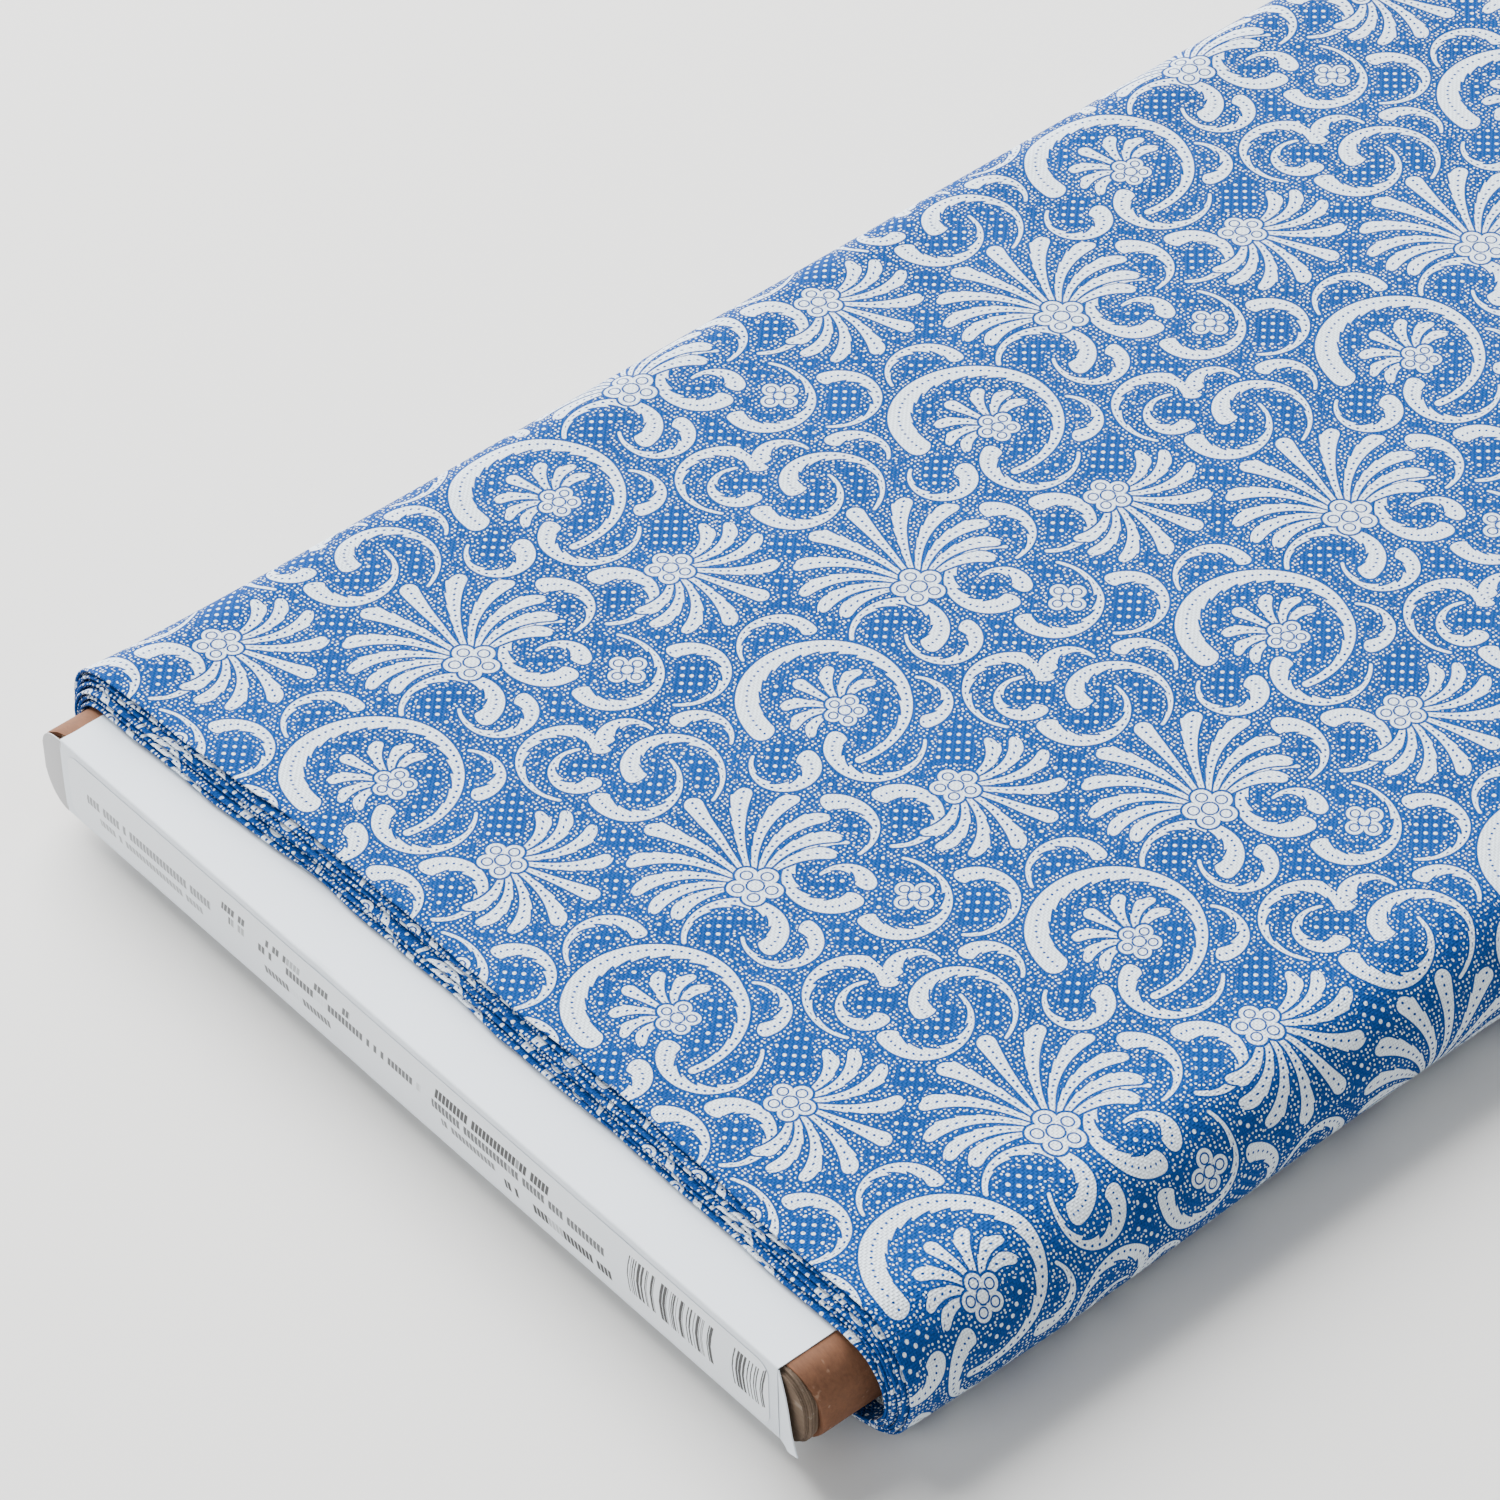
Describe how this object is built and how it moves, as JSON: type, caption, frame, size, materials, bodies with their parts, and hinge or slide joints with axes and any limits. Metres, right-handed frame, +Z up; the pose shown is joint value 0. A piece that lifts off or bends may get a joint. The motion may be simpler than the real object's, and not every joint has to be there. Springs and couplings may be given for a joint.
{
  "type": "bolt of quilting cotton",
  "caption": "Folded printed cotton wound flat on a card board, with a white paper end, a loose outer turn and a board that slides out.",
  "frame": {"origin": "middle of the footprint, on the surface the bolt lies on", "axes": "+X along the board from the labelled end to the plain end, +Y across the board, +Z up"},
  "size_m": [0.5994, 0.2132, 0.0272],
  "materials": {
    "printed_cotton": "plain weave, printed off-white on blue",
    "brown_card": "matt kraft board",
    "grey_card": "rough recycled chipboard",
    "white_paper": "smooth, faintly coated",
    "brown_paper": "matt gummed kraft",
    "sticker_paper": "semi-gloss label stock"
  },
  "bodies": {
    "roll": {"wound_cloth": "printed_cotton"},
    "board": {"sleeve": "brown_card", "end_paper": "white_paper", "plain_end_paper": "brown_paper", "sticker": "sticker_paper", "label_end_ply_1": "grey_card", "label_end_ply_2": "grey_card", "label_end_ply_3": "grey_card", "plain_end_ply_1": "grey_card", "plain_end_ply_2": "grey_card", "plain_end_ply_3": "grey_card", "rib_1": "grey_card", "rib_2": "grey_card", "rib_3": "grey_card"},
    "ear": {"paper_ear": "white_paper"},
    "tail": {"cloth_tail": "printed_cotton"}
  },
  "joints": [
    {"name": "board_slide", "type": "slide", "parent": "roll", "child": "board", "axis": [-1, 0, 0], "range_m": [0, 0.56]},
    {"name": "tail_fold", "type": "hinge", "parent": "roll", "child": "tail", "pos_m": [0, -0.0946, 0.0275], "axis": [1, 0, 0], "range_deg": [0, 175]},
    {"name": "ear_fold", "type": "hinge", "parent": "board", "child": "ear", "pos_m": [-0.29734, -0.0946, 0.0136], "axis": [0, 0, -1], "range_deg": [-12, 90]}
  ]
}
